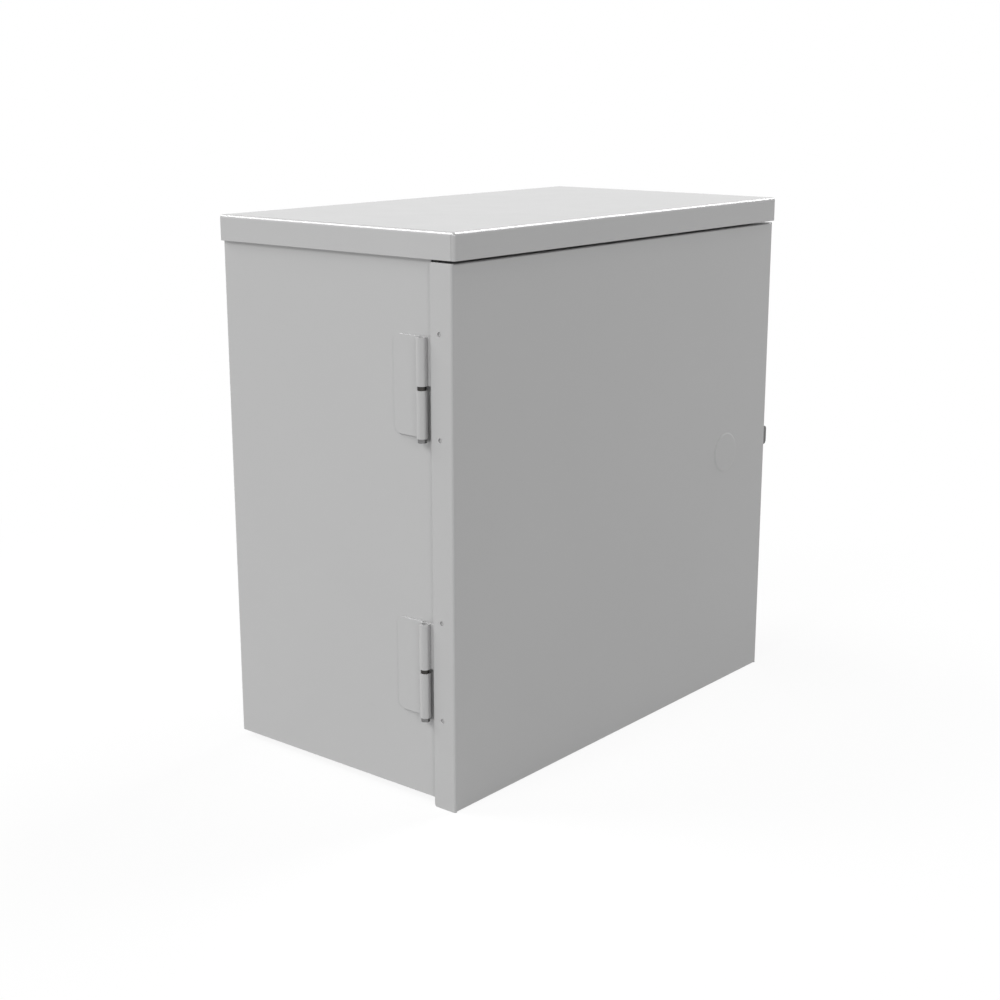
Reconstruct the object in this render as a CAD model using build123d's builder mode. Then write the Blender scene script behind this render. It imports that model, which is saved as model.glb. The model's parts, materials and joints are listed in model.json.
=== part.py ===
from build123d import *
import os

# Rain-tight roadside cabinet of folded sheet steel, hung on a wall or post by its back.
# X runs to the right along the front, Y to the back, Z up. The origin is the middle of the
# four wall bolts, on the outer face of the back. All lengths are in millimetres.

# Overall sizes
cabinet_height = 610.8
lid_width = 609.6
lid_depth = 338.6
sheet = 1.6
cut_over = 5.0

# Lid
lid_flange = 28.4
lid_bend = 2.4
lid_seam = 0.3
tuck_gap = 0.3

# Door pan
door_setback = 3.6
door_top_gap = 2.7
door_flange = 28.7
door_bend = 0.8
flange_corner = 3.0
knockout_radius = 24.6
knockout_raise = 0.95
knockout_slope = 60.0
knockout_inset = 94.3
knockout_drop = 2.6

# Body wrapper, header and bottom pan
wall_bend = 1.6
door_drop = 8.0
lip_gap = 6.8
lip_width = 15.0
rabbet_gap = 2.2
rabbet_drop = 5.0
back_top_drop = 6.0
header_weld = 18.0
header_lip = 22.0
pan_rise = 19.1
fit_gap = 0.2
drain_radius = 3.2
drain_inset = 60.0
bolt_radius = 3.3
bolt_inset_x = 25.2
bolt_inset_z = 50.4

# Lift-off hinges
hinge_leaf = 2.5
leaf_gap = 0.5
pin_radius = 3.2
pin_play = 0.05
pin_recess = 6.0
pin_chamfer = 0.8
pin_head_radius = 4.8
pin_head_height = 4.3
hinge_height = 103.8
hinge_drop = 157.9
hinge_rise = 151.6
bearing_thickness = 4.4
bearing_rim = 1.3
bearing_play = 0.25
barrel_gap = 4.8
body_leaf_reach = 42.0
body_leaf_corner = 8.0
leaf_relief = 0.7
door_leaf_height = 122.0
door_leaf_margin = 9.0
door_leaf_corner = 4.0
plug_radius = 2.5
plug_pitch = 107.7
plug_rise = 2.2
plug_setback = 11.8

# Padlock hasp
hasp_sheet = 2.5
hasp_bend = 1.0
hasp_height = 24.0
hasp_reach = 19.7
hasp_setback = 9.1
hasp_plate_height = 64.0
hasp_plate_front = 3.2
hasp_plate_rear_gap = 1.2
hasp_ear_gap = 0.3
hasp_slot_gap = 2.0
hasp_corner = 5.0
padlock_radius = 4.75
padlock_edge = 10.5
staple_leg = 34.0

# Mounting panel and its studs
panel_sheet = 2.5
panel_margin_x = 44.6
panel_margin_z = 51.4
panel_corner = 12.0
panel_standoff = 20.0
stud_inset = 20.0
stud_radius = 4.0
stud_collar = 8.0
stud_thread = 15.0
stud_play = 0.5
stud_nut_across = 13.0
stud_nut_height = 6.5
nut_play = 0.1

# Ground stud and lug
ground_drop = 150.0
ground_radius = 3.0
ground_collar = 7.0
ground_collar_height = 3.0
ground_thread = 14.0
ground_play = 0.3
ground_nut_across = 10.0
ground_nut_height = 5.0
lug_width = 14.0
lug_tongue = 3.0
lug_block_height = 15.0
lug_block_depth = 14.0
lug_wire_radius = 4.0
lug_clear = 3.5
lug_screw_radius = 3.0
lug_screw_length = 8.0
lug_screw_slot = 1.2
lug_screw_slot_depth = 2.0

# Heights
lid_top = cabinet_height / 2
lid_bottom = lid_top - lid_flange
wall_top = lid_top - sheet
door_top = lid_bottom - door_top_gap
door_bottom = lid_top - cabinet_height
body_bottom = door_bottom + door_drop
shelf_top = door_top - rabbet_drop
upper_hinge_z = lid_top - hinge_drop
lower_hinge_z = door_bottom + hinge_rise

# Depths, from the outer face of the back
back_inner = -sheet
lid_back = back_inner - tuck_gap
lid_front = lid_back - lid_depth
door_front = lid_front + door_setback
door_rear = door_front + door_flange
lip_front = door_front + sheet + lip_gap
header_front = lip_front + sheet
web_front = door_rear + rabbet_gap
plug_y = door_rear - plug_setback

# Outer radii of the folds
lid_fold = lid_bend + sheet
wall_fold = wall_bend + sheet
door_fold = door_bend + sheet
ear_fold = hasp_bend + hasp_sheet

# Widths, from the middle
half_width = lid_width / 2
wall_inset = sheet + hinge_leaf + leaf_gap
body_half = half_width - wall_inset
wall_inner = body_half - sheet
inner_half = wall_inner - wall_bend - fit_gap

# Hinge axis and knuckles
bore_radius = pin_radius + pin_play
barrel_radius = bore_radius + hinge_leaf
axis_x = -(body_half + leaf_gap + barrel_radius)
axis_y = door_rear + barrel_gap + barrel_radius
knuckle = (hinge_height - bearing_thickness) / 2

os.makedirs("parts", exist_ok=True)


def keep(piece, name):
    piece.label = name
    export_step(piece, f"parts/{name}.step")


# Wrapper: both sides and the back folded from one sheet, with front lips turned in
with BuildPart() as wrapper:
    with BuildSketch(Plane.XY.offset(body_bottom)) as wrapper_section:
        with BuildLine() as wrapper_line:
            FilletPolyline(
                (lip_width - body_half, lip_front),
                (-body_half, lip_front),
                (-body_half, 0),
                (body_half, 0),
                (body_half, lip_front),
                (body_half - lip_width, lip_front),
                radius=wall_fold,
            )
            offset(amount=sheet, side=Side.RIGHT)
        make_face()
    extrude(amount=wall_top - body_bottom)
    # Rabbet above the front lips, where the door's upper flange swings in
    with BuildSketch(Plane.YZ) as rabbet:
        with Locations((web_front, shelf_top)):
            Rectangle(
                web_front - lip_front + cut_over,
                wall_top - shelf_top + cut_over,
                align=(Align.MAX, Align.MIN),
            )
    extrude(amount=body_half + cut_over, both=True, mode=Mode.SUBTRACT)
    # Relief along the top of the back, under the lid's rear bend
    with BuildSketch(Plane.YZ) as back_relief:
        with Locations((lid_back - lid_fold - tuck_gap, lid_top - back_top_drop)):
            Rectangle(
                lid_fold + tuck_gap - lid_back + cut_over,
                back_top_drop + cut_over,
                align=Align.MIN,
            )
    extrude(amount=body_half + cut_over, both=True, mode=Mode.SUBTRACT)
    # Wall bolt holes through the back
    with BuildSketch(Plane.XZ) as bolt_holes:
        with GridLocations(
            2 * (body_half - bolt_inset_x), cabinet_height - 2 * bolt_inset_z, 2, 2
        ):
            Circle(bolt_radius)
    extrude(amount=sheet + cut_over, both=True, mode=Mode.SUBTRACT)
keep(wrapper.part, "wrapper")

# Bottom pan: a tray let in between the walls, behind the front lips, with two drain holes
pan_half = wall_inner - fit_gap
pan_back = back_inner - fit_gap
with BuildPart() as bottom_pan:
    with BuildSketch(Plane.YZ) as pan_section:
        with BuildLine() as pan_line:
            FilletPolyline(
                (header_front, body_bottom + pan_rise),
                (header_front, body_bottom),
                (pan_back, body_bottom),
                (pan_back, body_bottom + pan_rise),
                radius=wall_fold,
            )
            offset(amount=sheet, side=Side.LEFT)
        make_face()
    extrude(amount=pan_half - wall_fold, both=True)
    # End flanges, with the corners left open
    for side in (-1, 1):
        with BuildSketch(Plane.XZ.offset(wall_fold - pan_back)) as pan_end:
            with BuildLine() as end_line:
                FilletPolyline(
                    (side * (pan_half - wall_fold - fit_gap), body_bottom),
                    (side * pan_half, body_bottom),
                    (side * pan_half, body_bottom + pan_rise),
                    radius=wall_fold,
                )
                offset(amount=sheet, side=Side.LEFT if side > 0 else Side.RIGHT)
            make_face()
        extrude(amount=pan_back - header_front - 2 * wall_fold)
    with BuildSketch(Plane.XY.offset(body_bottom)) as drains:
        with Locations((0, header_front + drain_inset)):
            with GridLocations(2 * (pan_half - drain_inset), 0, 2, 1):
                Circle(drain_radius)
    extrude(amount=sheet + cut_over, both=True, mode=Mode.SUBTRACT)
keep(bottom_pan.part, "bottom_pan")

# Rain header: a stepped rail under the lid that closes the top of the opening
with BuildPart() as rain_header:
    with BuildSketch(Plane.YZ) as header_section:
        with BuildLine() as header_line:
            FilletPolyline(
                (web_front + header_weld, wall_top),
                (web_front, wall_top),
                (web_front, shelf_top),
                (header_front, shelf_top),
                (header_front, shelf_top - header_lip),
                radius=wall_fold,
            )
            offset(amount=sheet, side=Side.LEFT)
        make_face()
    extrude(amount=inner_half, both=True)
keep(rain_header.part, "rain_header")

# Lid: a shallow folded tray over the walls, its front corners seamed, its rear flange tucked
# inside the back
with BuildPart() as lid:
    with BuildSketch(Plane.XY.offset(lid_bottom)) as lid_plan:
        with Locations((0, (lid_front + lid_back) / 2)):
            Rectangle(lid_width, lid_depth)
    extrude(amount=lid_flange)
    fillet(lid.edges().filter_by(Axis.Z).group_by(Axis.Y)[0], lid_fold)
    fillet(lid.faces().sort_by(Axis.Z)[-1].edges(), lid_fold)
    offset(amount=-sheet, openings=lid.faces().sort_by(Axis.Z)[0])
    # The rear flange stops short of the side walls and their bends
    relief_width = half_width - sheet - inner_half
    with BuildSketch(Plane.XZ.offset(-lid_back)) as rear_relief:
        with Locations((0, lid_bottom)):
            with GridLocations(half_width - sheet + inner_half, 0, 2, 1):
                Rectangle(
                    relief_width,
                    lid_flange - back_top_drop + tuck_gap,
                    align=(Align.CENTER, Align.MIN),
                )
    extrude(amount=lid_fold, mode=Mode.SUBTRACT)
    # Butt seam between each side flange and the front flange that wraps the corner
    with BuildSketch(Plane.YZ) as corner_seam:
        with Locations((lid_front + lid_fold, lid_bottom)):
            Rectangle(lid_seam, lid_flange - lid_bend, align=Align.MIN)
    extrude(amount=half_width + cut_over, both=True, mode=Mode.SUBTRACT)
keep(lid.part, "lid")

# Door: a folded pan whose side flanges wrap the walls, with a half-sheared lock knockout
door_height = door_top - door_bottom
hasp_front = door_front + hasp_setback
ear_rear = hasp_front + hasp_sheet
staple_front = ear_rear + hasp_ear_gap
slot_height = hasp_height + 2 * hasp_slot_gap
slot_front = staple_front - hasp_slot_gap
hasp_plate_start = door_front + hasp_plate_front
hasp_plate_end = door_rear - hasp_plate_rear_gap
hinge_levels = {"upper": upper_hinge_z, "lower": lower_hinge_z}
with BuildPart() as door:
    with BuildSketch(Plane.YZ) as door_section:
        with BuildLine() as door_line:
            FilletPolyline(
                (door_rear, door_top),
                (door_front, door_top),
                (door_front, door_bottom),
                (door_rear, door_bottom),
                radius=door_fold,
            )
            offset(amount=sheet, side=Side.LEFT)
        make_face()
    extrude(amount=half_width - door_fold, both=True)
    # Side flanges, full height, joined to the front by their bends
    for side in (-1, 1):
        with BuildSketch(Plane.XY.offset(door_bottom)) as side_flange:
            with BuildLine() as side_line:
                FilletPolyline(
                    (side * (half_width - door_fold - fit_gap), door_front),
                    (side * half_width, door_front),
                    (side * half_width, door_rear),
                    radius=door_fold,
                )
                offset(amount=sheet, side=Side.LEFT if side > 0 else Side.RIGHT)
            make_face()
        extrude(amount=door_height)
    rear_edges = door.edges().filter_by(Axis.X).group_by(Axis.Y)[-1]
    fillet(rear_edges.sort_by(SortBy.LENGTH)[:4], flange_corner)
    # Plug-weld holes over the hinge leaves
    with BuildSketch(Plane.YZ) as plug_holes:
        for level in hinge_levels.values():
            with Locations((plug_y, level + plug_rise)):
                with GridLocations(0, plug_pitch, 1, 2):
                    Circle(plug_radius)
    extrude(amount=-(half_width + cut_over), mode=Mode.SUBTRACT)
    # Slot for the staple, open at the rear edge of the latch-side flange
    with BuildSketch(Plane.YZ) as staple_slot:
        with Locations((slot_front, 0)):
            Rectangle(
                door_rear - slot_front + cut_over, slot_height, align=(Align.MIN, Align.CENTER)
            )
    extrude(amount=half_width + cut_over, mode=Mode.SUBTRACT)
    # Knockout: pushed out by part of the sheet with a sloped edge, and the same step behind it
    with BuildSketch(Plane.XZ.offset(-door_front)) as knockout_face:
        with Locations((half_width - knockout_inset, -knockout_drop)):
            Circle(knockout_radius)
    extrude(amount=knockout_raise, taper=knockout_slope)
    with BuildSketch(Plane.XZ.offset(-door_front - sheet)) as knockout_back:
        with Locations((half_width - knockout_inset, -knockout_drop)):
            Circle(knockout_radius)
    extrude(amount=knockout_raise, taper=knockout_slope, mode=Mode.SUBTRACT)
keep(door.part, "door")

# Hasp: a plate riveted on the latch-side flange, its ear lanced and bent out
ear_tip = half_width + hasp_reach
padlock_x = ear_tip - padlock_edge
with BuildPart() as hasp_tab:
    with BuildSketch(Plane.YZ.offset(half_width)) as hasp_plate:
        with Locations((hasp_plate_start, 0)):
            Rectangle(
                hasp_plate_end - hasp_plate_start,
                hasp_plate_height,
                align=(Align.MIN, Align.CENTER),
            )
        fillet(hasp_plate.vertices(), hasp_corner)
        with Locations((ear_rear - ear_fold, 0)):
            Rectangle(
                hasp_plate_end - ear_rear + ear_fold + cut_over,
                slot_height,
                align=(Align.MIN, Align.CENTER),
                mode=Mode.SUBTRACT,
            )
    extrude(amount=hasp_sheet)
    with BuildSketch() as ear_section:
        with BuildLine() as ear_line:
            FilletPolyline(
                (half_width, hasp_plate_start),
                (half_width, ear_rear),
                (ear_tip, ear_rear),
                radius=ear_fold,
            )
            offset(amount=hasp_sheet, side=Side.RIGHT)
        make_face()
    extrude(amount=hasp_height / 2, both=True)
    fillet(hasp_tab.edges().filter_by(Axis.Y).group_by(Axis.X)[-1], hasp_corner)
    with BuildSketch(Plane.XZ.offset(-ear_rear)) as ear_hole:
        with Locations((padlock_x, 0)):
            Circle(padlock_radius)
    extrude(amount=hasp_sheet + cut_over, both=True, mode=Mode.SUBTRACT)
keep(hasp_tab.part, "hasp_tab")

# Staple: the matching ear, welded on the wall and passing through the flange slot
with BuildPart() as hasp_staple:
    with BuildSketch() as staple_section:
        with BuildLine() as staple_line:
            FilletPolyline(
                (body_half, staple_front + staple_leg),
                (body_half, staple_front),
                (ear_tip, staple_front),
                radius=ear_fold,
            )
            offset(amount=hasp_sheet, side=Side.LEFT)
        make_face()
    extrude(amount=hasp_height / 2, both=True)
    fillet(hasp_staple.edges().filter_by(Axis.Y).group_by(Axis.X)[-1], hasp_corner)
    with BuildSketch(Plane.XZ.offset(-staple_front)) as staple_hole:
        with Locations((padlock_x, 0)):
            Circle(padlock_radius)
    extrude(amount=hasp_sheet + cut_over, both=True, mode=Mode.SUBTRACT)
keep(hasp_staple.part, "hasp_staple")

# Hinges: each lower knuckle belongs to the leaf on the wall, each upper one to the leaf
# inside the door flange, and the door hangs on the headed pin and its bearing washer
for level_name, level in hinge_levels.items():
    hinge_bottom = level - hinge_height / 2
    hinge_top = level + hinge_height / 2
    lower_end = hinge_bottom + knuckle
    upper_end = hinge_top - knuckle
    leaf_back = axis_y + body_leaf_reach
    leaf_trim = axis_y + barrel_radius + leaf_relief

    with BuildPart() as body_leaf:
        with BuildSketch(Plane.XY.offset(hinge_bottom)) as lower_roll:
            with Locations((axis_x, axis_y)):
                Circle(barrel_radius)
            with Locations((-body_half, axis_y)):
                Rectangle(hinge_leaf, body_leaf_reach, align=(Align.MAX, Align.MIN))
        extrude(amount=knuckle)
        with BuildSketch(Plane.XY.offset(lower_end)) as upper_strip:
            with Locations((-body_half, leaf_trim)):
                Rectangle(hinge_leaf, leaf_back - leaf_trim, align=(Align.MAX, Align.MIN))
        extrude(amount=hinge_top - lower_end)
        fillet(body_leaf.edges().filter_by(Axis.X).group_by(Axis.Y)[-1], body_leaf_corner)
        with BuildSketch(Plane.XY.offset(hinge_bottom)) as lower_bore:
            with Locations((axis_x, axis_y)):
                Circle(pin_radius)
        extrude(amount=knuckle, mode=Mode.SUBTRACT)
    keep(body_leaf.part, f"{level_name}_hinge_body_leaf")

    plate_mid = level + plug_rise
    plate_front = plug_y - door_leaf_margin
    with BuildPart() as door_leaf:
        with BuildSketch(Plane.YZ.offset(-half_width + sheet)) as leaf_plate:
            with Locations((plate_front, plate_mid)):
                Rectangle(
                    door_rear - plate_front, door_leaf_height, align=(Align.MIN, Align.CENTER)
                )
            fillet(leaf_plate.vertices().group_by(Axis.Y)[0], door_leaf_corner)
            with Locations((plate_front + door_leaf_corner, upper_end)):
                Rectangle(axis_y - plate_front - door_leaf_corner, knuckle, align=Align.MIN)
        extrude(amount=hinge_leaf)
        with BuildSketch(Plane.XY.offset(upper_end)) as upper_roll:
            with Locations((axis_x, axis_y)):
                Circle(barrel_radius)
        extrude(amount=knuckle)
        with BuildSketch(Plane.XY.offset(upper_end)) as upper_bore:
            with Locations((axis_x, axis_y)):
                Circle(bore_radius)
        extrude(amount=knuckle, mode=Mode.SUBTRACT)
    keep(door_leaf.part, f"{level_name}_hinge_door_leaf")

    with BuildPart() as hinge_pin:
        with BuildSketch(Plane.XY.offset(hinge_bottom)) as pin_section:
            with Locations((axis_x, axis_y)):
                Circle(pin_radius)
        extrude(amount=hinge_height - pin_recess)
        chamfer(hinge_pin.edges().group_by(Axis.Z)[-1], pin_chamfer)
        with BuildSketch(Plane.XY.offset(hinge_bottom)) as pin_head:
            with Locations((axis_x, axis_y)):
                Circle(pin_head_radius)
        extrude(amount=-pin_head_height)
    keep(hinge_pin.part, f"{level_name}_hinge_pin")

    with BuildPart() as bearing_washer:
        with BuildSketch(Plane.XY.offset(lower_end)) as bearing_ring:
            with Locations((axis_x, axis_y)):
                Circle(pin_radius + bearing_play + bearing_rim)
                Circle(pin_radius + bearing_play, mode=Mode.SUBTRACT)
        extrude(amount=bearing_thickness)
    keep(bearing_washer.part, f"{level_name}_hinge_washer")

# Mounting panel on four shouldered weld studs
panel_half_x = wall_inner - panel_margin_x
panel_half_z = cabinet_height / 2 - panel_margin_z
panel_back = back_inner - panel_standoff
panel_face = panel_back - panel_sheet
stud_pitch_x = 2 * (panel_half_x - stud_inset)
stud_pitch_z = 2 * (panel_half_z - stud_inset)
with BuildPart() as back_panel:
    with BuildSketch(Plane.XZ.offset(-panel_back)) as panel_outline:
        Rectangle(2 * panel_half_x, 2 * panel_half_z)
        fillet(panel_outline.vertices(), panel_corner)
        with GridLocations(stud_pitch_x, stud_pitch_z, 2, 2):
            Circle(stud_radius + stud_play, mode=Mode.SUBTRACT)
    extrude(amount=panel_sheet)
keep(back_panel.part, "back_panel")

with BuildPart() as panel_studs:
    with BuildSketch(Plane.XZ.offset(-back_inner)) as stud_collars:
        with GridLocations(stud_pitch_x, stud_pitch_z, 2, 2):
            Circle(stud_collar)
    extrude(amount=panel_standoff)
    with BuildSketch(Plane.XZ.offset(-panel_back)) as stud_threads:
        with GridLocations(stud_pitch_x, stud_pitch_z, 2, 2):
            Circle(stud_radius)
    extrude(amount=stud_thread)
keep(panel_studs.part, "panel_studs")

with BuildPart() as panel_nuts:
    with BuildSketch(Plane.XZ.offset(-panel_face)) as nut_outlines:
        with GridLocations(stud_pitch_x, stud_pitch_z, 2, 2):
            RegularPolygon(stud_nut_across / 2, 6, major_radius=False)
            Circle(stud_radius + nut_play, mode=Mode.SUBTRACT)
    extrude(amount=stud_nut_height)
keep(panel_nuts.part, "panel_nuts")

# Ground stud on the back, with its lug held by a nut
ground_x = body_half - bolt_inset_x
lug_seat = back_inner - ground_collar_height
lug_face = lug_seat - lug_tongue
block_start = ground_nut_across / 2 + lug_clear
with BuildPart() as ground_stud:
    with BuildSketch(Plane.XZ.offset(-back_inner)) as ground_base:
        with Locations((ground_x, -ground_drop)):
            Circle(ground_collar)
    extrude(amount=ground_collar_height)
    with BuildSketch(Plane.XZ.offset(-lug_seat)) as ground_shank:
        with Locations((ground_x, -ground_drop)):
            Circle(ground_radius)
    extrude(amount=ground_thread)
keep(ground_stud.part, "ground_stud")

with BuildPart() as ground_lug:
    with BuildSketch(Plane.XZ.offset(-lug_seat)) as lug_tongue_outline:
        with Locations((ground_x, -ground_drop)):
            Circle(lug_width / 2)
            Rectangle(lug_width, block_start + lug_block_height, align=(Align.CENTER, Align.MIN))
            Circle(ground_radius + ground_play, mode=Mode.SUBTRACT)
    extrude(amount=lug_tongue)
    with BuildSketch(Plane.XZ.offset(-lug_face)) as lug_block:
        with Locations((ground_x, block_start - ground_drop)):
            Rectangle(lug_width, lug_block_height, align=(Align.CENTER, Align.MIN))
    extrude(amount=lug_block_depth)
    wire_y = lug_face - lug_wire_radius
    block_mid = block_start - ground_drop + lug_block_height / 2
    with BuildSketch(Plane.YZ.offset(ground_x)) as wire_hole:
        with Locations((wire_y, block_mid)):
            Circle(lug_wire_radius)
    extrude(amount=lug_width, both=True, mode=Mode.SUBTRACT)
    with BuildSketch(Plane.XZ.offset(-wire_y)) as screw_hole:
        with Locations((ground_x, block_mid)):
            Circle(lug_screw_radius + nut_play)
    extrude(amount=lug_block_depth + cut_over, mode=Mode.SUBTRACT)
keep(ground_lug.part, "ground_lug")

with BuildPart() as lug_screw:
    screw_end = lug_face - lug_block_depth + lug_screw_length - lug_wire_radius
    with BuildSketch(Plane.XZ.offset(-screw_end)) as screw_section:
        with Locations((ground_x, block_mid)):
            Circle(lug_screw_radius)
    extrude(amount=lug_screw_length)
    with BuildSketch(Plane.XZ.offset(lug_screw_length - screw_end)) as screw_slot:
        with Locations((ground_x, block_mid)):
            Rectangle(2 * lug_screw_radius + cut_over, lug_screw_slot)
    extrude(amount=-lug_screw_slot_depth, mode=Mode.SUBTRACT)
keep(lug_screw.part, "lug_screw")

with BuildPart() as ground_nut:
    with BuildSketch(Plane.XZ.offset(-lug_face)) as ground_hex:
        with Locations((ground_x, -ground_drop)):
            RegularPolygon(ground_nut_across / 2, 6, major_radius=False)
            Circle(ground_radius + nut_play, mode=Mode.SUBTRACT)
    extrude(amount=ground_nut_height)
keep(ground_nut.part, "ground_nut")
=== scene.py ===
import json
from math import cos, pi, radians, sin, tan, tau

import bmesh
import bpy
from bpy.props import FloatProperty, FloatVectorProperty, IntProperty, PointerProperty
from bpy.types import Operator, Panel, PropertyGroup
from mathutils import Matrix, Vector


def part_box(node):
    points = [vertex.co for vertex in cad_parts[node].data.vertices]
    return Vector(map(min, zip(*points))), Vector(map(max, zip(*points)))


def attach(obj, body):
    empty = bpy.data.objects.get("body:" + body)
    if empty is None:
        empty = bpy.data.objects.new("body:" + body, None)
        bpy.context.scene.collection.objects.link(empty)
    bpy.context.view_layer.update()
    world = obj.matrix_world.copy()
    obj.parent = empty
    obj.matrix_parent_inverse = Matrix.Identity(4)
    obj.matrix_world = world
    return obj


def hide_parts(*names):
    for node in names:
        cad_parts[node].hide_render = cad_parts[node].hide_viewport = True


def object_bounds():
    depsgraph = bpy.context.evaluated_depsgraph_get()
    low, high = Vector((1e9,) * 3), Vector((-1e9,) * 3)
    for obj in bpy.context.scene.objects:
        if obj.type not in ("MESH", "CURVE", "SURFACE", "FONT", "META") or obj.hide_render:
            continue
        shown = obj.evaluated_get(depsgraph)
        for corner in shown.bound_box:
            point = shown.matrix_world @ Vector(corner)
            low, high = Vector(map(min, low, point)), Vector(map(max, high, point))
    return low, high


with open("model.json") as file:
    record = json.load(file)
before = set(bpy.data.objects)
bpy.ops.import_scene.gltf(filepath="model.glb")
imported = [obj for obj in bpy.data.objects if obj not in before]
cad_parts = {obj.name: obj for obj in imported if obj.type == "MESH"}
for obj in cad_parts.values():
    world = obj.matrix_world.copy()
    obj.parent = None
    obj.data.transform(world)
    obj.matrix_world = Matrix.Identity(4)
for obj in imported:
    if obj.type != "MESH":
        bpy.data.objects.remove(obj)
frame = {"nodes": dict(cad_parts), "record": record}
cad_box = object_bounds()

bl_info = {
    "name": "Roadside cabinet dressing",
    "version": (1, 0, 0),
    "blender": (4, 5, 0),
    "location": "3D View > Sidebar > Cabinet",
    "description": "Finishes, welds, rivets, threads and a studio for a folded sheet-steel cabinet",
    "category": "Object",
}

X_AXIS = Vector((1, 0, 0))
Y_AXIS = Vector((0, 1, 0))
Z_AXIS = Vector((0, 0, 1))
WHITE = (1, 1, 1, 1)

# Finishes. Sizes are in metres. A tone changes by a share of its colour, a gloss by so much roughness.
PAINT_TONE_SIZE = 0.16
PAINT_TONE_CHANGE = 0.02
PAINT_GLOSS_SIZE = 0.05
PAINT_GLOSS_CHANGE = 0.05
METAL_TONE_GRAINS = 6     # width of a metal's patches of tone, in widths of its grain
METAL_TONE_CHANGE = 0.25
METAL_GLOSS_GRAINS = 3    # and of its patches of gloss
METAL_GLOSS_CHANGE = 0.12
METAL_EDGE_ROUND = 0.0002
EDGE_SAMPLES = 6          # rays that smooth a rounded edge
FLOOR_ROUGHNESS = 0.9
FLOOR_GRAIN = 0.004
FLOOR_TONE_CHANGE = 0.01

# Meshes
SHARP_ANGLE = radians(35)
NUT_SIDE = radians(60)    # turn from one corner of a nut to the next
NUT_CHAMFER = radians(30)
DOME_RIM = 0.2            # straight rim of a domed head, as a share of its height
DOME_RINGS = 7
PLUG_FILL = 0.96          # mean radius of a plug weld, as a share of its setting
PLUG_WAVER = 0.03         # how far its edge wavers, as the same share
PLUG_LOBES = 3
BEAD_ARC = 6              # steps across a weld bead
BEAD_RINGS = 6            # rings along one of its ripples
BEAD_END = 0.4            # leg at its ends, as a share of the full leg
BEAD_LAG = 0.45           # how far a ripple trails at the middle of the bead, in ripples
BEAD_WAVE = 0.09          # height of a ripple, as a share of the leg
SPOT_END = 3              # first spot weld from a flange's end, in spot insets
SPOT_PROFILE = ((0, 1), (1, 0.9), (1, 0.75), (0.2, 0.6))     # shares of a mark's rim and radius

# Direction toward each lamp, and how wide it looks
LAMPS = {
    "back_light": ((-0.3, 0.64, 0.71), radians(28)),
    "right_light": ((0.75, -0.1, 0.65), radians(28)),
    "left_light": ((-0.8, 0.05, 0.6), radians(24)),
    "front_light": ((-0.51, -0.78, 0.37), radians(16)),
}


# Settings that a user would change, in metres

class FinishSettings(PropertyGroup):
    """Colours and surface of the finishes"""

    paint_colour: FloatVectorProperty(
        name="Paint", description="Powder coat of the folded sheets",
        subtype="COLOR", size=3, min=0, max=1, default=(0.48, 0.48, 0.48),
    )
    paint_roughness: FloatProperty(
        name="Paint roughness", description="Satin gloss of the powder coat",
        subtype="FACTOR", min=0, max=1, default=0.3,
    )
    paint_gloss: FloatProperty(
        name="Paint gloss", description="How much the powder coat mirrors",
        subtype="FACTOR", min=0, max=1, default=0.9,
    )
    paint_index: FloatProperty(
        name="Paint index", description="Refractive index of the powder coat",
        min=1, max=2.5, default=1.72,
    )
    peel_size: FloatProperty(
        name="Orange peel", description="Width of one dimple in the powder coat",
        unit="LENGTH", min=0.0002, default=0.0026,
    )
    peel_depth: FloatProperty(
        name="Peel depth", description="Depth of the dimples in the powder coat",
        unit="LENGTH", min=0, default=0.000003,
    )
    edge_round: FloatProperty(
        name="Edge rounding", description="Radius that the coat leaves on cut edges",
        unit="LENGTH", min=0, default=0.0005,
    )
    panel_colour: FloatVectorProperty(
        name="Panel", description="White coat of the mounting panel",
        subtype="COLOR", size=3, min=0, max=1, default=(0.8, 0.8, 0.78),
    )
    zinc_colour: FloatVectorProperty(
        name="Zinc", description="Zinc plate of the studs and nuts",
        subtype="COLOR", size=3, min=0, max=1, default=(0.42, 0.42, 0.43),
    )
    hasp_colour: FloatVectorProperty(
        name="Hasp", description="Dark zinc-nickel plate of the hasp and its rivets",
        subtype="COLOR", size=3, min=0, max=1, default=(0.15, 0.15, 0.15),
    )
    # Turned steel, set darker than plain steel: partly the pins' own colour, partly painted shade
    # standing in for the shaded side of the pin ends
    pin_steel_and_shade_colour: FloatVectorProperty(
        name="Pins", description="Turned steel of the hinge pins",
        subtype="COLOR", size=3, min=0, max=1, default=(0.2, 0.2, 0.2),
    )
    # Oiled bronze, set nearly black: partly the washers' own colour, partly painted shade so they sink
    # into the shaded gap between the knuckles
    bronze_and_gap_shade_colour: FloatVectorProperty(
        name="Bronze", description="Oiled bearing washers of the hinges",
        subtype="COLOR", size=3, min=0, max=1, default=(0.06, 0.057, 0.054),
    )
    lug_colour: FloatVectorProperty(
        name="Lug", description="Tin-plated aluminium of the ground lug",
        subtype="COLOR", size=3, min=0, max=1, default=(0.7, 0.7, 0.71),
    )


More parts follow.
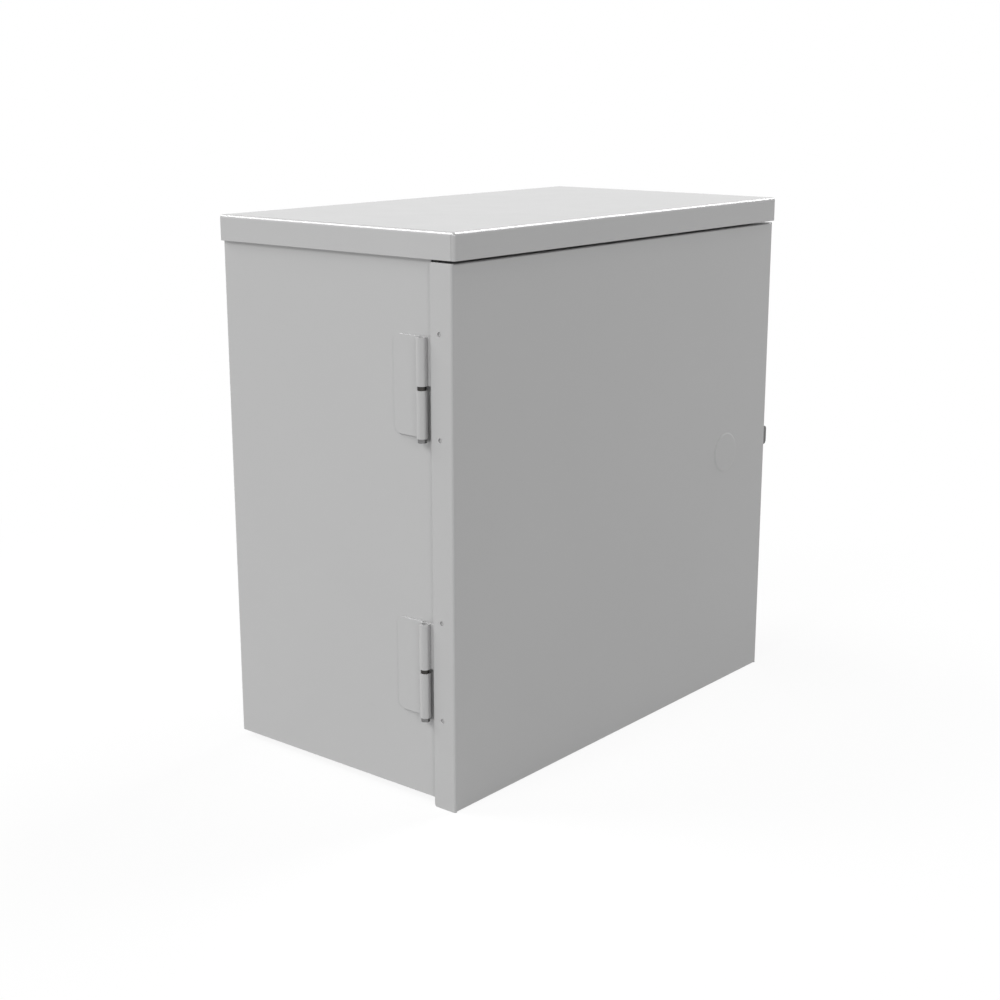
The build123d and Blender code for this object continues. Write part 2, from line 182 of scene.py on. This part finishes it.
class ThreadSettings(PropertyGroup):
    """Threads and nuts of the panel studs and the ground stud"""

    facets: IntProperty(
        name="Facets", description="Points round a stud, a nut or a rivet, in sixes", min=12, default=36,
    )
    turn_rings: IntProperty(
        name="Rings a turn", description="Rings along one turn of a thread", min=4, default=6,
    )
    panel_thread: FloatProperty(
        name="Panel thread", description="Outer diameter of the panel studs' thread",
        unit="LENGTH", default=0.008,
    )
    panel_pitch: FloatProperty(
        name="Panel pitch", description="Pitch of the panel studs' thread",
        unit="LENGTH", default=0.00125,
    )
    panel_collar: FloatProperty(
        name="Panel collar", description="Diameter of the panel studs' collars",
        unit="LENGTH", default=0.016,
    )
    ground_thread: FloatProperty(
        name="Ground thread", description="Outer diameter of the ground stud's thread",
        unit="LENGTH", default=0.006,
    )
    ground_pitch: FloatProperty(
        name="Ground pitch", description="Pitch of the ground stud's thread",
        unit="LENGTH", default=0.001,
    )
    depth_share: FloatProperty(
        name="Depth", description="Depth of a thread as a share of its pitch",
        subtype="FACTOR", min=0, max=1, default=0.6,
    )
    bore_play: FloatProperty(
        name="Bore play", description="Room between a nut's bore and its stud, on the radius",
        unit="LENGTH", default=0.0001,
    )
    corner_break: FloatProperty(
        name="Corner break", description="Chamfer of collars, stud tips and nut bores",
        unit="LENGTH", default=0.0005,
    )


class JointSettings(PropertyGroup):
    """Plug welds, spot welds, weld beads and rivets"""

    sheet: FloatProperty(
        name="Sheet", description="Thickness of the folded sheets", unit="LENGTH", default=0.0016,
    )
    hasp_sheet: FloatProperty(
        name="Hasp sheet", description="Thickness of the hasp plate", unit="LENGTH", default=0.0025,
    )
    plug_radius: FloatProperty(
        name="Plug weld", description="Radius of a plug weld in the door's flange",
        unit="LENGTH", default=0.0025,
    )
    plug_pitch: FloatProperty(
        name="Plug pitch", description="Distance between the two plug welds of a hinge",
        unit="LENGTH", default=0.1077,
    )
    plug_margin: FloatProperty(
        name="Plug margin", description="Distance of a plug weld from the front edge of the door leaf",
        unit="LENGTH", default=0.009,
    )
    plug_crown: FloatProperty(
        name="Plug crown", description="Height of a plug weld over the leaf",
        unit="LENGTH", default=0.0002,
    )
    bead_leg: FloatProperty(
        name="Bead", description="Leg of a weld bead", unit="LENGTH", default=0.002,
    )
    bead_ripple: FloatProperty(
        name="Ripple", description="Length of one ripple of a bead", unit="LENGTH", default=0.0016,
    )
    bead_inset: FloatProperty(
        name="Bead inset", description="Bare edge at each end of a bead", unit="LENGTH", default=0.002,
    )
    bead_length: FloatProperty(
        name="Bead length", description="Length of a bead along the side of the staple",
        unit="LENGTH", default=0.012,
    )
    spot_radius: FloatProperty(
        name="Spot weld", description="Radius of a spot weld's mark", unit="LENGTH", default=0.0032,
    )
    spot_rim: FloatProperty(
        name="Spot rim", description="Height of the rim round a spot weld",
        unit="LENGTH", default=0.00018,
    )
    spot_pitch: FloatProperty(
        name="Spot pitch", description="Widest distance between spot welds",
        unit="LENGTH", default=0.075,
    )
    spot_inset: FloatProperty(
        name="Spot inset", description="Distance of a spot weld from the edge of its flange",
        unit="LENGTH", default=0.008,
    )
    rivet_radius: FloatProperty(
        name="Rivet", description="Radius of a rivet's head on the hasp", unit="LENGTH", default=0.004,
    )
    rivet_height: FloatProperty(
        name="Rivet height", description="Height of a rivet's head", unit="LENGTH", default=0.0018,
    )
    rivet_inset: FloatProperty(
        name="Rivet inset", description="Distance of a rivet from the end of the hasp plate",
        unit="LENGTH", default=0.009,
    )
    tail_share: FloatProperty(
        name="Rivet tail", description="Size of a rivet's inner end as a share of its head",
        subtype="FACTOR", min=0, max=1, default=0.7,
    )


class StageSettings(PropertyGroup):
    """Camera, floor and light"""

    camera_place: FloatVectorProperty(
        name="Camera", description="Where the camera stands",
        subtype="TRANSLATION", unit="LENGTH", size=3, default=(-1.5373, -1.4121, 0.4549),
    )
    camera_tilt: FloatProperty(
        name="Tilt", description="How far the camera looks down",
        subtype="ANGLE", default=radians(14.326),
    )
    camera_heading: FloatProperty(
        name="Heading", description="How far the camera is turned from the back to the right",
        subtype="ANGLE", default=radians(50.556),
    )
    camera_lens: FloatProperty(
        name="Lens", description="Focal length on a 36 mm sensor",
        unit="CAMERA", min=1, default=60.207,
    )
    floor_size: FloatProperty(
        name="Floor", description="Side of the square floor", unit="LENGTH", default=30.0,
    )
    floor_colour: FloatVectorProperty(
        name="Floor colour", description="Pale floor",
        subtype="COLOR", size=3, min=0, max=1, default=(0.5, 0.5, 0.5),
    )
    shadow_share: FloatProperty(
        name="Shadow", description="How much of the floor's own shading shows beside the object",
        subtype="FACTOR", min=0, max=1, default=0.12,
    )
    shadow_reach: FloatProperty(
        name="Shadow reach", description="Distance at which the floor has turned plain white",
        unit="LENGTH", default=1.1,
    )
    sky_light: FloatProperty(
        name="Sky", description="Brightness of the white surround as a light", min=0, default=0.1,
    )
    back_light: FloatProperty(
        name="Back light", description="Light from behind and above, on a face turned to it",
        min=0, default=1.5,
    )
    right_light: FloatProperty(
        name="Right light", description="Light from the right and above, on a face turned to it",
        min=0, default=1.65,
    )
    left_light: FloatProperty(
        name="Left light", description="Light from the left and above, on a face turned to it",
        min=0, default=1.19,
    )
    front_light: FloatProperty(
        name="Front light", description="Light from the front left, on a face turned to it",
        min=0, default=0.555,
    )


# Materials

def blank_material(name):
    """A new material with one Principled shader: the material, its node tree and the shader"""
    made = bpy.data.materials.new(name)
    made.use_nodes = True
    tree = made.node_tree
    tree.nodes.clear()
    shader = tree.nodes.new("ShaderNodeBsdfPrincipled")
    output = tree.nodes.new("ShaderNodeOutputMaterial")
    tree.links.new(shader.outputs["BSDF"], output.inputs["Surface"])
    return made, tree, shader


def noise(tree, size, detail, stretch=(1, 1, 1)):
    """Noise in the object's own metres, whose bumps are about size wide"""
    place = tree.nodes.new("ShaderNodeTexCoord")
    mapping = tree.nodes.new("ShaderNodeMapping")
    mapping.inputs["Scale"].default_value = stretch
    texture = tree.nodes.new("ShaderNodeTexNoise")
    texture.inputs["Scale"].default_value = 1 / size
    texture.inputs["Detail"].default_value = detail
    tree.links.new(place.outputs["Object"], mapping.inputs["Vector"])
    tree.links.new(mapping.outputs["Vector"], texture.inputs["Vector"])
    return texture.outputs["Fac"]


def spread(tree, value, low, high):
    """A value of 0 to 1 mapped between two numbers"""
    node = tree.nodes.new("ShaderNodeMapRange")
    node.inputs["To Min"].default_value = low
    node.inputs["To Max"].default_value = high
    tree.links.new(value, node.inputs["Value"])
    return node.outputs["Result"]


def tint(tree, value, colour, change):
    """A colour that a noise value makes a little darker and lighter"""
    ramp = tree.nodes.new("ShaderNodeValToRGB")
    ramp.color_ramp.elements[0].color = [c * (1 - change) for c in colour] + [1]
    ramp.color_ramp.elements[1].color = [min(c * (1 + change), 1) for c in colour] + [1]
    tree.links.new(value, ramp.inputs["Fac"])
    return ramp.outputs["Color"]


def relief(tree, shader, height, depth, edge_round):
    """Bump of a height of 0 to 1 times depth, over edges rounded by edge_round"""
    bump = tree.nodes.new("ShaderNodeBump")
    bump.inputs["Strength"].default_value = 1
    bump.inputs["Distance"].default_value = depth
    tree.links.new(height, bump.inputs["Height"])
    if edge_round > 0:
        edges = tree.nodes.new("ShaderNodeBevel")
        edges.samples = EDGE_SAMPLES
        edges.inputs["Radius"].default_value = edge_round
        tree.links.new(edges.outputs["Normal"], bump.inputs["Normal"])
    tree.links.new(bump.outputs["Normal"], shader.inputs["Normal"])


def powder_coat(name, colour, finish):
    """Satin powder coat: orange peel, slow drift of tone and gloss"""
    made, tree, shader = blank_material(name)
    tone = noise(tree, PAINT_TONE_SIZE, detail=3)
    tree.links.new(tint(tree, tone, colour, PAINT_TONE_CHANGE), shader.inputs["Base Color"])
    gloss = noise(tree, PAINT_GLOSS_SIZE, detail=4)
    smoothest = finish.paint_roughness - PAINT_GLOSS_CHANGE
    roughest = finish.paint_roughness + PAINT_GLOSS_CHANGE
    tree.links.new(spread(tree, gloss, smoothest, roughest), shader.inputs["Roughness"])
    shader.inputs["Specular IOR Level"].default_value = finish.paint_gloss
    shader.inputs["IOR"].default_value = finish.paint_index
    peel = noise(tree, finish.peel_size, detail=1)
    relief(tree, shader, peel, finish.peel_depth, finish.edge_round)
    return made


def plated_metal(name, colour, roughness, grain, grain_depth, stretch=(1, 1, 1)):
    """Bare or plated metal with a grain that stretch can draw out"""
    made, tree, shader = blank_material(name)
    shader.inputs["Metallic"].default_value = 1
    tone = noise(tree, grain * METAL_TONE_GRAINS, detail=3, stretch=stretch)
    tree.links.new(tint(tree, tone, colour, METAL_TONE_CHANGE), shader.inputs["Base Color"])
    gloss = noise(tree, grain * METAL_GLOSS_GRAINS, detail=3, stretch=stretch)
    smoothest, roughest = roughness - METAL_GLOSS_CHANGE, roughness + METAL_GLOSS_CHANGE
    tree.links.new(spread(tree, gloss, smoothest, roughest), shader.inputs["Roughness"])
    marks = noise(tree, grain, detail=2, stretch=stretch)
    relief(tree, shader, marks, grain_depth, METAL_EDGE_ROUND)
    return made


def slot_materials(finish):
    """One material for each material slot of the record"""
    return {
        "cabinet_paint": powder_coat("cabinet_paint", finish.paint_colour, finish),
        "panel_paint": powder_coat("panel_paint", finish.panel_colour, finish),
        "zinc_plate": plated_metal(
            "zinc_plate", finish.zinc_colour, roughness=0.42, grain=0.0008, grain_depth=0.000006,
        ),
        "hasp_steel": plated_metal(
            "hasp_steel", finish.hasp_colour, roughness=0.45, grain=0.0008, grain_depth=0.000006,
        ),
        "pin_steel": plated_metal(
            "pin_steel", finish.pin_steel_and_shade_colour, roughness=0.3, grain=0.0006, grain_depth=0.000004,
            stretch=(1, 1, 6),
        ),
        "bearing_bronze": plated_metal(
            "bearing_bronze", finish.bronze_and_gap_shade_colour, roughness=0.35, grain=0.0006, grain_depth=0.000004,
        ),
        "lug_aluminium": plated_metal(
            "lug_aluminium", finish.lug_colour, roughness=0.38, grain=0.0007, grain_depth=0.000008,
        ),
    }


class CABINET_OT_finish_nodes(Operator):
    """Give every CAD node the procedural material of its slot"""

    bl_idname = "cabinet.finish_nodes"
    bl_label = "Finish the sheets and hardware"

    def execute(self, context):
        made = slot_materials(context.scene.cabinet_finish)
        for part in frame["record"]["subparts"]:
            slots = frame["nodes"][part["node"]].data.materials
            slots.clear()
            slots.append(made[part["material_slot"]])
        return {"FINISHED"}


# Mesh helpers: a shape is a list of vertices and a list of faces

def turned(shape, outline, count, place, axis, closed=False):
    """Adds a body turned about an axis through place; outline(angle) lists (along, radius) points"""
    verts, faces = shape
    first = len(verts)
    side = Z_AXIS if abs(axis.x) > 0.5 else X_AXIS
    up = axis.cross(side)
    for step in range(count):
        angle = tau * step / count
        spoke = side * cos(angle) + up * sin(angle)
        points = outline(angle)
        verts.extend(place + axis * along + spoke * radius for along, radius in points)
    size = len(points)
    for step in range(count):
        near = first + step * size
        far = first + (step + 1) % count * size
        for low in range(size if closed else size - 1):
            high = (low + 1) % size
            faces.append((near + low, far + low, far + high, near + high))
    if not closed:
        faces.append([first + step * size for step in reversed(range(count))])
        faces.append([first + step * size + size - 1 for step in range(count)])


def bead(shape, start, end, face_a, face_b, joints):
    """Adds a rippled fillet weld from start to end, in the corner of faces that run off two ways"""
    verts, faces = shape
    first = len(verts)
    run = end - start
    ripples = run.length / joints.bead_ripple
    steps = round(ripples * BEAD_RINGS)
    for step in range(steps + 1):
        share = step / steps
        ramp = min(share, 1 - share) * run.length / joints.bead_leg
        leg = joints.bead_leg * min(1, BEAD_END + (1 - BEAD_END) * ramp)
        root = start + run * share
        verts.append(root)
        for point in range(BEAD_ARC + 1):
            turn = pi / 2 * point / BEAD_ARC
            lag = BEAD_LAG * sin(2 * turn)
            reach = leg * (1 + BEAD_WAVE * cos(tau * (share * ripples + lag)))
            verts.append(root + (face_a * cos(turn) + face_b * sin(turn)) * reach)
    size = BEAD_ARC + 2
    for step in range(steps):
        near = first + step * size
        for low in range(size):
            high = (low + 1) % size
            faces.append((near + low, near + high, near + size + high, near + size + low))
    faces.append(list(range(first, first + size)))
    faces.append(list(range(first + steps * size, first + (steps + 1) * size)))


def add_piece(name, shape, body, slot, *stands_for):
    """Makes one object of a shape, finished by a slot's material and riding on a body"""
    verts, faces = shape
    mesh = bpy.data.meshes.new(name)
    mesh.from_pydata(verts, [], faces)
    work = bmesh.new()
    work.from_mesh(mesh)
    bmesh.ops.recalc_face_normals(work, faces=work.faces)
    work.to_mesh(mesh)
    work.free()
    mesh.shade_smooth()
    mesh.set_sharp_from_angle(angle=SHARP_ANGLE)
    mesh.materials.append(bpy.data.materials[slot])
    piece = bpy.data.objects.new(name, mesh)
    bpy.context.scene.collection.objects.link(piece)
    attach(piece, body)
    if stands_for:
        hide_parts(*stands_for)


def even_places(start, end, widest):
    """Places from start to end, both included, no further apart than widest"""
    gaps = max(1, round((end - start) / widest + 0.5))
    return [start + (end - start) * step / gaps for step in range(gaps + 1)]


def four_corners(node, margin, y):
    """Points in the corners of a CAD node seen from the front, margin in from its box"""
    low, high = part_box(node)
    return [
        Vector((x, y, z))
        for x in (low.x + margin, high.x - margin)
        for z in (low.z + margin, high.z - margin)
    ]


# Studs and nuts

def stud(shape, base, collar_height, length, collar, thread, pitch, threads):
    """Adds a weld stud that stands out to the front: a collar, then a thread with a chamfered tip"""
    corner = threads.corner_break
    depth = threads.depth_share * pitch
    rings = round((length - collar_height) / pitch * threads.turn_rings)

    def outline(angle):
        points = [
            (0, collar / 2), (collar_height - corner, collar / 2), (collar_height, collar / 2 - corner),
        ]
        for ring in range(rings + 1):
            along = collar_height + (length - collar_height) * ring / rings
            wave = cos(tau * (along / pitch) - angle)
            radius = thread / 2 - depth * (1 - wave) / 2
            tip = thread / 2 - depth - corner + (length - along)
            points.append((along, min(radius, tip)))
        return points

    turned(shape, outline, threads.facets, base, -Y_AXIS)


def hex_nut(shape, seat, across, height, thread, threads):
    """Adds a hexagon nut that faces the front, with rounded-off corners and a countersunk bore"""
    flat = across / 2
    bore = thread / 2 + threads.bore_play
    corner = threads.corner_break

    def outline(angle):
        edge = flat / cos(angle % NUT_SIDE - NUT_SIDE / 2)
        drop = (edge - flat) * tan(NUT_CHAMFER) + corner / 2
        return [
            (0, bore + corner), (0, flat - corner), (drop, edge), (height - drop, edge),
            (height, flat - corner), (height, bore + corner), (height - corner, bore), (corner, bore),
        ]

    turned(shape, outline, threads.facets, seat, -Y_AXIS, closed=True)


class CABINET_OT_thread_panel_studs(Operator):
    """Cut threads on the four studs of the mounting panel"""

    bl_idname = "cabinet.thread_panel_studs"
    bl_label = "Thread the panel studs"

    def execute(self, context):
        threads = context.scene.cabinet_threads
        low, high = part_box("panel_studs")
        panel_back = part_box("back_panel")[1].y
        shape = [], []
        for base in four_corners("panel_studs", threads.panel_collar / 2, high.y):
            stud(
                shape, base, high.y - panel_back, high.y - low.y,
                threads.panel_collar, threads.panel_thread, threads.panel_pitch, threads,
            )
        add_piece("panel_stud_threads", shape, "cabinet", "zinc_plate", "panel_studs")
        return {"FINISHED"}


class CABINET_OT_shape_panel_nuts(Operator):
    """Shape the four nuts that hold the mounting panel"""

    bl_idname = "cabinet.shape_panel_nuts"
    bl_label = "Shape the panel nuts"

    def execute(self, context):
        threads = context.scene.cabinet_threads
        low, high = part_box("panel_nuts")
        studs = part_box("panel_studs")
        stud_pitch = studs[1].z - studs[0].z - threads.panel_collar
        across = high.z - low.z - stud_pitch
        shape = [], []
        for seat in four_corners("panel_studs", threads.panel_collar / 2, high.y):
            hex_nut(shape, seat, across, high.y - low.y, threads.panel_thread, threads)
        add_piece("panel_hex_nuts", shape, "cabinet", "zinc_plate", "panel_nuts")
        return {"FINISHED"}


class CABINET_OT_thread_ground_stud(Operator):
    """Cut the thread of the ground stud and shape its nut"""

    bl_idname = "cabinet.thread_ground_stud"
    bl_label = "Thread the ground stud"

    def execute(self, context):
        threads = context.scene.cabinet_threads
        low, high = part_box("ground_stud")
        lug_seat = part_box("ground_lug")[1].y
        middle = (low + high) / 2
        shape = [], []
        stud(
            shape, Vector((middle.x, high.y, middle.z)), high.y - lug_seat, high.y - low.y,
            high.x - low.x, threads.ground_thread, threads.ground_pitch, threads,
        )
        add_piece("ground_stud_thread", shape, "cabinet", "zinc_plate", "ground_stud")

        nut_low, nut_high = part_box("ground_nut")
        shape = [], []
        hex_nut(
            shape, Vector((middle.x, nut_high.y, middle.z)), nut_high.z - nut_low.z,
            nut_high.y - nut_low.y, threads.ground_thread, threads,
        )
        add_piece("ground_hex_nut", shape, "cabinet", "zinc_plate", "ground_nut")
        return {"FINISHED"}


# Welds and rivets

def dome(radius, height):
    """Outline of a domed head with a short straight rim"""
    rim = DOME_RIM * height
    turns = [pi / 2 * step / DOME_RINGS for step in range(DOME_RINGS)]
    return [(0, radius)] + [(rim + (height - rim) * sin(turn), radius * cos(turn)) for turn in turns]


class CABINET_OT_fill_plug_welds(Operator):
    """Lay flat welds in the holes of the door's flange, which hold the hinge leaves"""

    bl_idname = "cabinet.fill_plug_welds"
    bl_label = "Fill the plug welds"

    def execute(self, context):
        joints = context.scene.cabinet_joints
        facets = context.scene.cabinet_threads.facets
        leaf_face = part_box("door")[0].x + joints.sheet
        shape = [], []
        for node in ("upper_hinge_door_leaf", "lower_hinge_door_leaf"):
            low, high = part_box(node)
            for side in (-1, 1):

                def outline(angle, side=side):
                    waver = PLUG_WAVER * sin(PLUG_LOBES * angle + side)
                    rim = joints.plug_radius * (PLUG_FILL + waver)
                    return dome(rim, joints.plug_crown)

                z = (low.z + high.z) / 2 + side * joints.plug_pitch / 2
                place = Vector((leaf_face, low.y + joints.plug_margin, z))
                turned(shape, outline, facets, place, -X_AXIS)
        add_piece("door_plug_welds", shape, "door", "cabinet_paint")
        return {"FINISHED"}


class CABINET_OT_set_hasp_rivets(Operator):
    """Set the two rivets that hold the hasp plate on the door's flange"""

    bl_idname = "cabinet.set_hasp_rivets"
    bl_label = "Set the hasp rivets"

    def execute(self, context):
        joints = context.scene.cabinet_joints
        facets = context.scene.cabinet_threads.facets
        head = dome(joints.rivet_radius, joints.rivet_height)
        tail = [(along * joints.tail_share, radius * joints.tail_share) for along, radius in head]
        low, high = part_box("hasp_tab")
        shape = [], []
        for z in (low.z + joints.rivet_inset, high.z - joints.rivet_inset):
            place = Vector((low.x, (low.y + high.y) / 2, z))
            turned(shape, lambda angle: head, facets, place + X_AXIS * joints.hasp_sheet, X_AXIS)
            turned(shape, lambda angle: tail, facets, place - X_AXIS * joints.sheet, -X_AXIS)
        add_piece("hasp_rivets", shape, "door", "hasp_steel")
        return {"FINISHED"}


class CABINET_OT_weld_staple(Operator):
    """Weld the staple's leg to the wall along three edges"""

    bl_idname = "cabinet.weld_staple"
    bl_label = "Weld the staple"

    def execute(self, context):
        joints = context.scene.cabinet_joints
        inset = joints.bead_inset
        low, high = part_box("hasp_staple")
        shape = [], []
        bottom = Vector((low.x, high.y, low.z + inset))
        top = Vector((low.x, high.y, high.z - inset))
        bead(shape, bottom, top, Y_AXIS, X_AXIS, joints)
        for z, away in ((low.z, -Z_AXIS), (high.z, Z_AXIS)):
            rear = Vector((low.x, high.y - inset, z))
            bead(shape, rear - Y_AXIS * joints.bead_length, rear, away, X_AXIS, joints)
        add_piece("staple_weld_beads", shape, "cabinet", "cabinet_paint")
        return {"FINISHED"}


class CABINET_OT_mark_spot_welds(Operator):
    """Leave the marks of the spot welds on the bottom pan's flanges and the rain header"""

    bl_idname = "cabinet.mark_spot_welds"
    bl_label = "Mark the spot welds"

    def execute(self, context):
        joints = context.scene.cabinet_joints
        sheet = joints.sheet
        inset = joints.spot_inset
        end = SPOT_END * inset
        mark = [(rise * joints.spot_rim, share * joints.spot_radius) for rise, share in SPOT_PROFILE]
        low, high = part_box("bottom_pan")
        z = high.z - inset
        places = []
        for y in even_places(low.y + end, high.y - end, joints.spot_pitch):
            places.append((Vector((low.x + sheet, y, z)), X_AXIS))
            places.append((Vector((high.x - sheet, y, z)), -X_AXIS))
        for x in even_places(low.x + end, high.x - end, joints.spot_pitch):
            places.append((Vector((x, low.y + sheet, z)), Y_AXIS))
            places.append((Vector((x, high.y - sheet, z)), -Y_AXIS))
        low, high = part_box("rain_header")
        for x in even_places(low.x + end, high.x - end, joints.spot_pitch):
            places.append((Vector((x, high.y - inset, high.z - sheet)), -Z_AXIS))
        shape = [], []
        for place, axis in places:
            turned(shape, lambda angle: mark, context.scene.cabinet_threads.facets, place, axis)
        add_piece("spot_weld_marks", shape, "cabinet", "cabinet_paint")
        return {"FINISHED"}


# Stage

def soft_light(name, toward, width, strength):
    """A broad light so far off, toward a direction, that it falls evenly on the whole cabinet"""
    lamp = bpy.data.lights.new(name, "SUN")
    lamp.angle = width
    lamp.energy = strength
    item = bpy.data.objects.new(name, lamp)
    bpy.context.scene.collection.objects.link(item)
    item.rotation_euler = Vector(toward).to_track_quat("Z", "Y").to_euler()


def combined(tree, operation, one, other):
    """Two values put together by one operation of a Math node"""
    node = tree.nodes.new("ShaderNodeMath")
    node.operation = operation
    tree.links.new(one, node.inputs[0])
    tree.links.new(other, node.inputs[1])
    return node.outputs["Value"]


def seen_switch(tree):
    """1 where the camera, a mirror or glass looks, and 0 for the light that falls on things"""
    path = tree.nodes.new("ShaderNodeLightPath").outputs
    seen = combined(tree, "MAXIMUM", path["Is Camera Ray"], path["Is Glossy Ray"])
    return combined(tree, "MAXIMUM", seen, path["Is Transmission Ray"])


def white_world(scene, sky_light):
    """A white surround that lights the object less than it shows"""
    world = bpy.data.worlds.new("studio")
    world.use_nodes = True
    scene.world = world
    tree = world.node_tree
    sky = tree.nodes["Background"]
    sky.inputs["Color"].default_value = WHITE
    tree.links.new(spread(tree, seen_switch(tree), sky_light, 1), sky.inputs["Strength"])


def floor_material(stage):
    """A pale floor that shows white to the camera, but for a soft shadow beside the object"""
    made, tree, shader = blank_material("floor")
    shader.inputs["Roughness"].default_value = FLOOR_ROUGHNESS
    shader.inputs["Specular IOR Level"].default_value = 0
    seen = seen_switch(tree)
    paint = tree.nodes.new("ShaderNodeMix")
    paint.data_type = "RGBA"
    tree.links.new(seen, paint.inputs["Factor"])
    grain = noise(tree, FLOOR_GRAIN, detail=2)
    tree.links.new(tint(tree, grain, stage.floor_colour, FLOOR_TONE_CHANGE), paint.inputs["A"])
    paint.inputs["B"].default_value = WHITE
    tree.links.new(paint.outputs["Result"], shader.inputs["Base Color"])
    glow = tree.nodes.new("ShaderNodeEmission")
    glow.inputs["Color"].default_value = WHITE

    place = tree.nodes.new("ShaderNodeTexCoord")
    distance = tree.nodes.new("ShaderNodeVectorMath")
    distance.operation = "LENGTH"
    tree.links.new(place.outputs["Object"], distance.inputs[0])
    # The floor's own shading shows by shadow_share near the object, and no more beyond shadow_reach
    white = tree.nodes.new("ShaderNodeMapRange")
    white.interpolation_type = "SMOOTHSTEP"
    white.inputs["From Min"].default_value = stage.shadow_reach / 2
    white.inputs["From Max"].default_value = stage.shadow_reach
    white.inputs["To Min"].default_value = 1 - stage.shadow_share
    white.inputs["To Max"].default_value = 1
    tree.links.new(distance.outputs["Value"], white.inputs["Value"])
    share = combined(tree, "MULTIPLY", seen, white.outputs["Result"])

    mix = tree.nodes.new("ShaderNodeMixShader")
    tree.links.new(share, mix.inputs["Fac"])
    tree.links.new(shader.outputs["BSDF"], mix.inputs[1])
    tree.links.new(glow.outputs["Emission"], mix.inputs[2])
    output = next(node for node in tree.nodes if node.type == "OUTPUT_MATERIAL")
    tree.links.new(mix.outputs["Shader"], output.inputs["Surface"])
    return made


class CABINET_OT_build_stage(Operator):
    """Make the pale floor, the soft light and the camera"""

    bl_idname = "cabinet.build_stage"
    bl_label = "Build the studio"

    def execute(self, context):
        scene = context.scene
        stage = scene.cabinet_stage
        floor_z = cad_box[0].z
        half = stage.floor_size / 2
        mesh = bpy.data.meshes.new("studio_floor")
        corners = [(-half, -half), (half, -half), (half, half), (-half, half)]
        mesh.from_pydata([(x, y, floor_z) for x, y in corners], [], [(0, 1, 2, 3)])
        mesh.materials.append(floor_material(stage))
        ground = bpy.data.objects.new("studio_floor", mesh)
        scene.collection.objects.link(ground)

        white_world(scene, stage.sky_light)
        for name, (toward, width) in LAMPS.items():
            soft_light(name, toward, width, getattr(stage, name))

        camera = bpy.data.cameras.new("photo_camera")
        camera.lens = stage.camera_lens
        viewer = bpy.data.objects.new("photo_camera", camera)
        viewer.location = stage.camera_place
        viewer.rotation_euler = (pi / 2 - stage.camera_tilt, 0, -stage.camera_heading)
        scene.collection.objects.link(viewer)
        scene.camera = viewer
        scene.view_settings.view_transform = "Standard"
        return {"FINISHED"}


class CABINET_PT_dressing(Panel):
    """Steps that dress the cabinet"""

    bl_label = "Cabinet dressing"
    bl_idname = "CABINET_PT_dressing"
    bl_space_type = "VIEW_3D"
    bl_region_type = "UI"
    bl_category = "Cabinet"

    def draw(self, context):
        for step in STEPS:
            self.layout.operator(step.bl_idname)


SETTINGS = {
    "cabinet_finish": FinishSettings,
    "cabinet_threads": ThreadSettings,
    "cabinet_joints": JointSettings,
    "cabinet_stage": StageSettings,
}
STEPS = (
    CABINET_OT_finish_nodes,
    CABINET_OT_thread_panel_studs,
    CABINET_OT_shape_panel_nuts,
    CABINET_OT_thread_ground_stud,
    CABINET_OT_fill_plug_welds,
    CABINET_OT_set_hasp_rivets,
    CABINET_OT_weld_staple,
    CABINET_OT_mark_spot_welds,
    CABINET_OT_build_stage,
)
CLASSES = (*SETTINGS.values(), *STEPS, CABINET_PT_dressing)


def register():
    for item in CLASSES:
        bpy.utils.register_class(item)
    for name, group in SETTINGS.items():
        setattr(bpy.types.Scene, name, PointerProperty(type=group))


def unregister():
    for name in SETTINGS:
        delattr(bpy.types.Scene, name)
    for item in reversed(CLASSES):
        bpy.utils.unregister_class(item)


def main():
    register()
    for step in STEPS:
        area, name = step.bl_idname.split(".")
        getattr(getattr(bpy.ops, area), name)()


if __name__ == "__main__":
    main()
